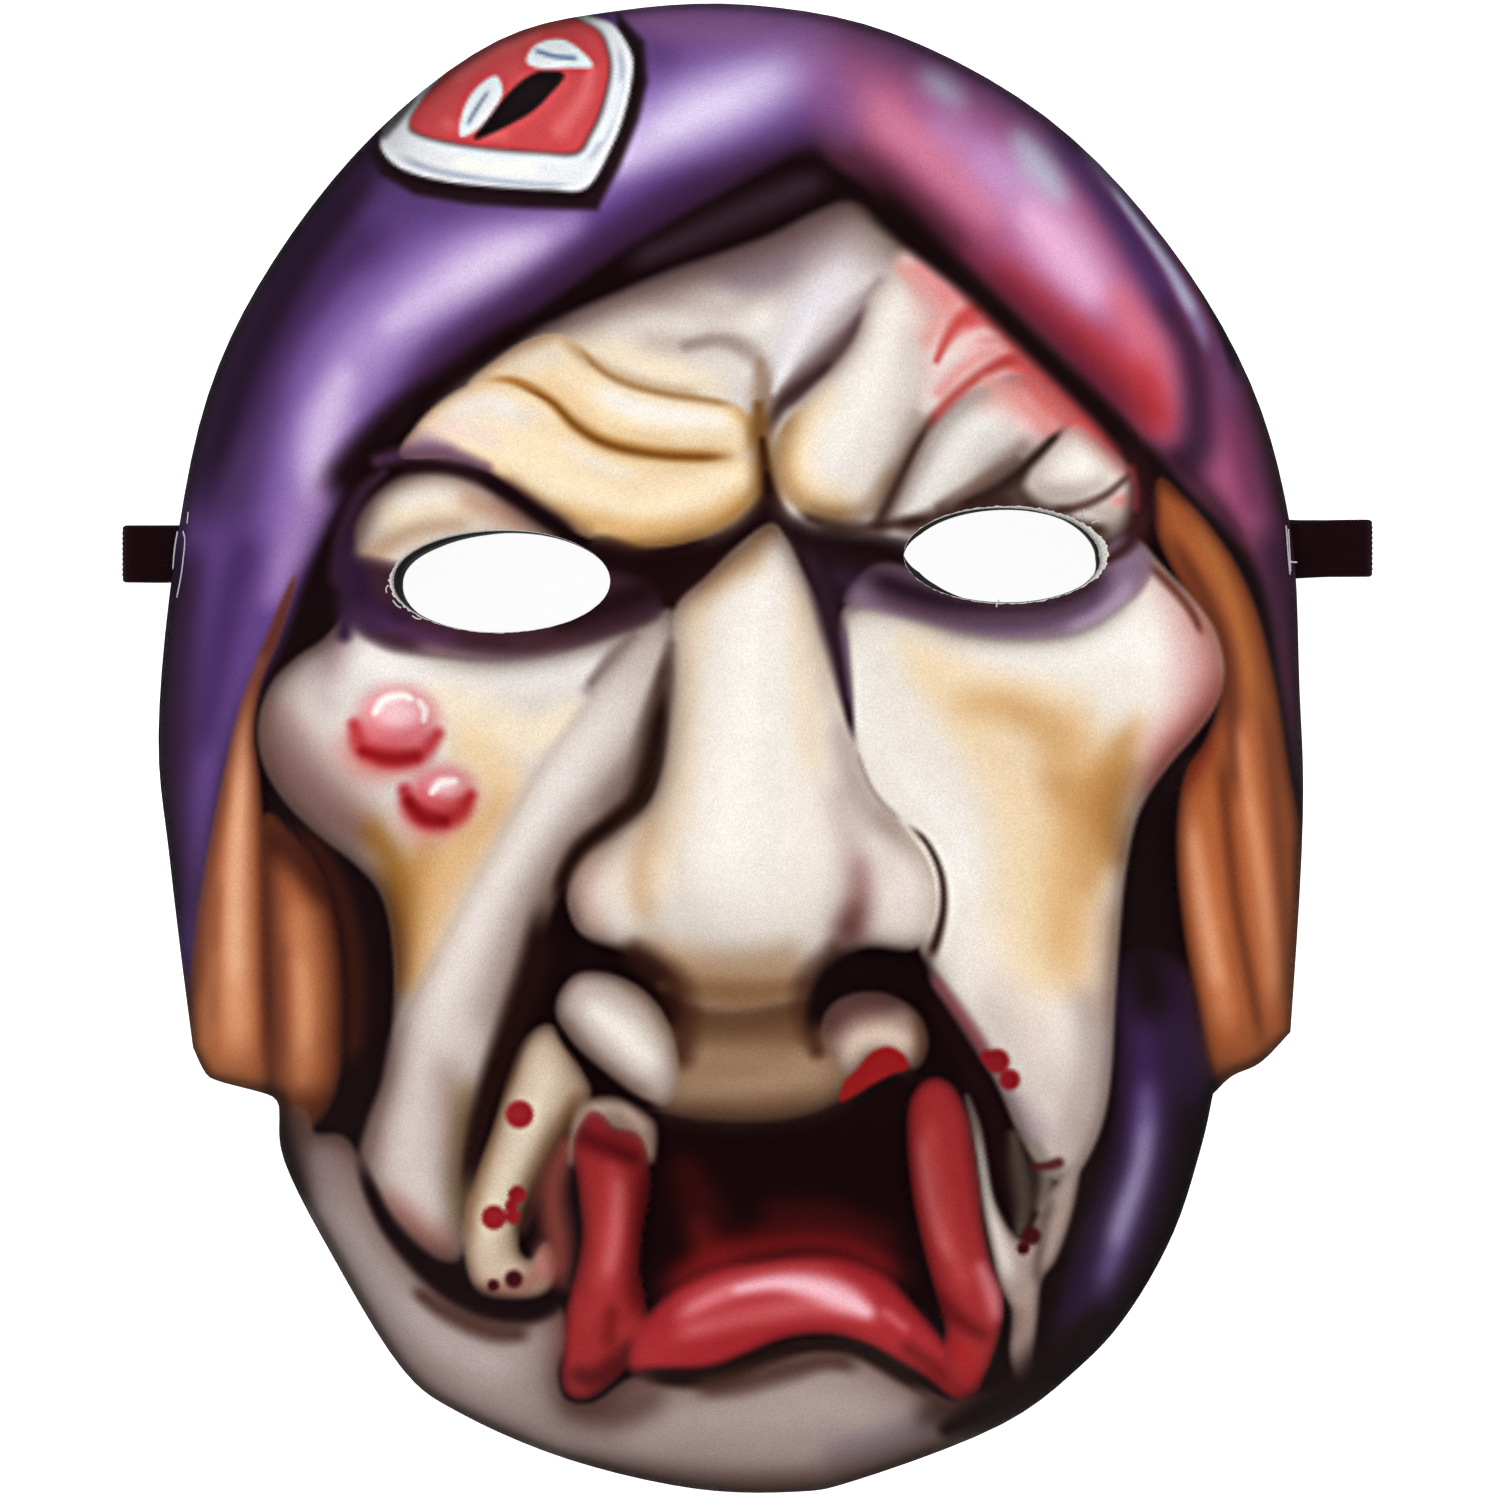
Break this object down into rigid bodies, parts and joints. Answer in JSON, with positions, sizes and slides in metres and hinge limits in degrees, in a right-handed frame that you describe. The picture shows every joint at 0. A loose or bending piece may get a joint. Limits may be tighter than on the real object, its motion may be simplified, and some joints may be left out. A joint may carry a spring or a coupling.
{
  "type": "carnival mask of an old woman",
  "caption": "Full-face carnival mask of a scowling old woman in a hood: printed cloth on moulded black foam, with two eye holes and a flat elastic strap, lying face up.",
  "frame": {"origin": "on the table under the middle of the shell's box, which lies on its rim with the face up", "axes": "+Z out of the face, +Y to the top of the head, +X to the viewer's right as one looks at the face"},
  "size_m": [0.2192, 0.261, 0.0816],
  "materials": {
    "printed_cloth": "full-colour print on fine woven cloth, satin to matte",
    "black_foam": "fine closed-cell foam, matte black",
    "black_elastic": "flat ribbed elastic, matte black",
    "white_thread": "sewing thread, matte"
  },
  "bodies": {
    "root": {"mask_shell": "printed_cloth", "elastic_strap": "black_elastic"}
  },
  "joints": []
}
